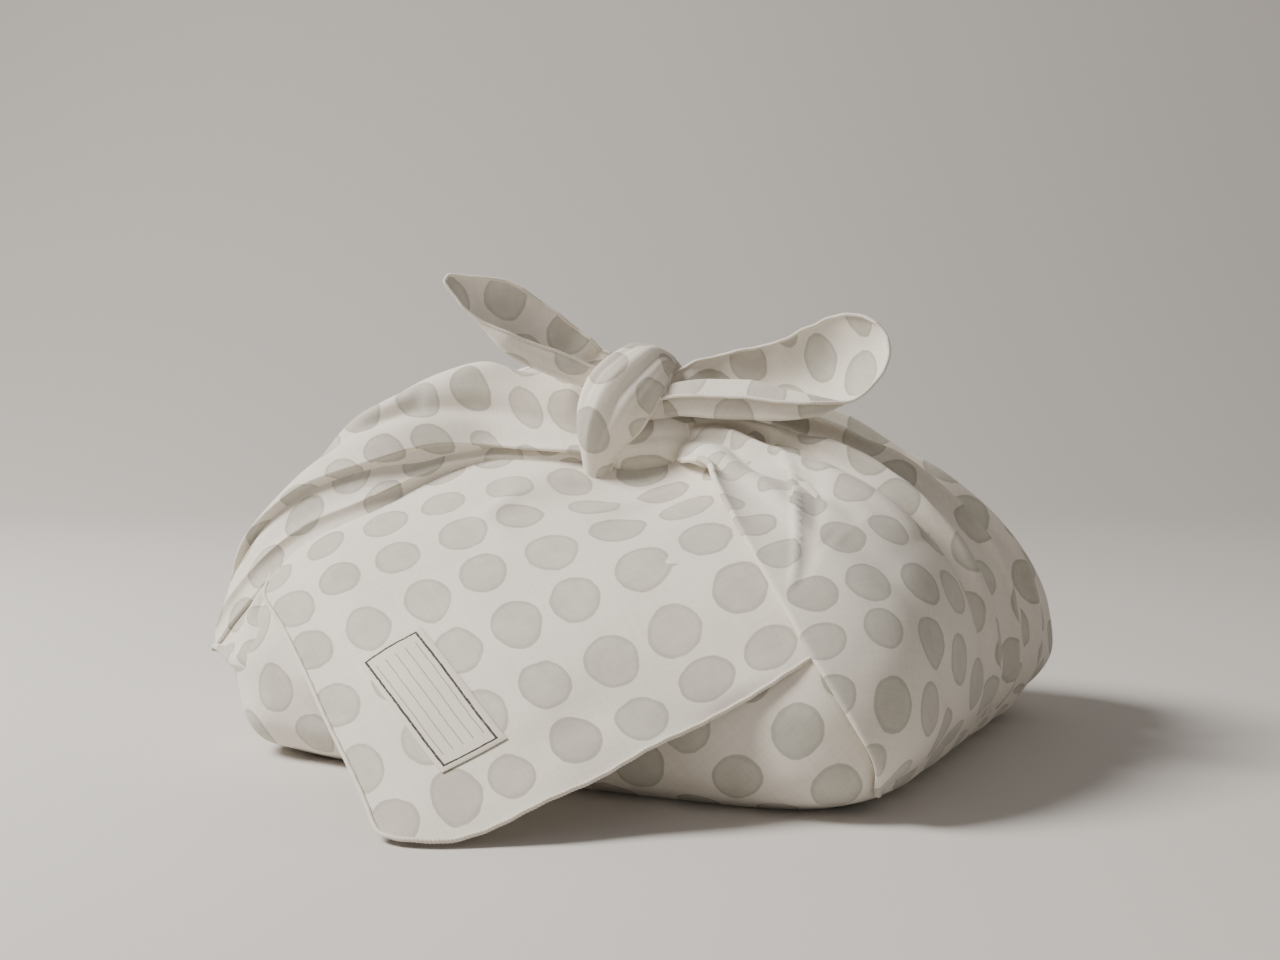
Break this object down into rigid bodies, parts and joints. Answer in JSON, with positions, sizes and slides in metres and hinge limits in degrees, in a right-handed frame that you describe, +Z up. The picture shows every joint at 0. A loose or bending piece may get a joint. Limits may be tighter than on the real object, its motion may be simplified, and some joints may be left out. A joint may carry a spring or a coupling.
{
  "type": "furoshiki wrap",
  "caption": "Square cotton cloth with dots wrapped round a soft bundle, knotted on top with free ends, its corner flap and label hanging in front.",
  "frame": {"origin": "on the surface that the bundle stands on, at the middle of the bundle's footprint", "axes": "+X along the tied ends, from the left end to the right end; -Y is the front, where the corner flap hangs; +Z is up"},
  "size_m": [0.2991, 0.3206, 0.1845],
  "materials": {
    "cotton": "matt plain-weave cotton with printed dots and an overlocked hem",
    "label_cloth": "matt woven tape"
  },
  "bodies": {
    "root": {"cloth": "cotton", "label": "label_cloth"}
  },
  "joints": []
}
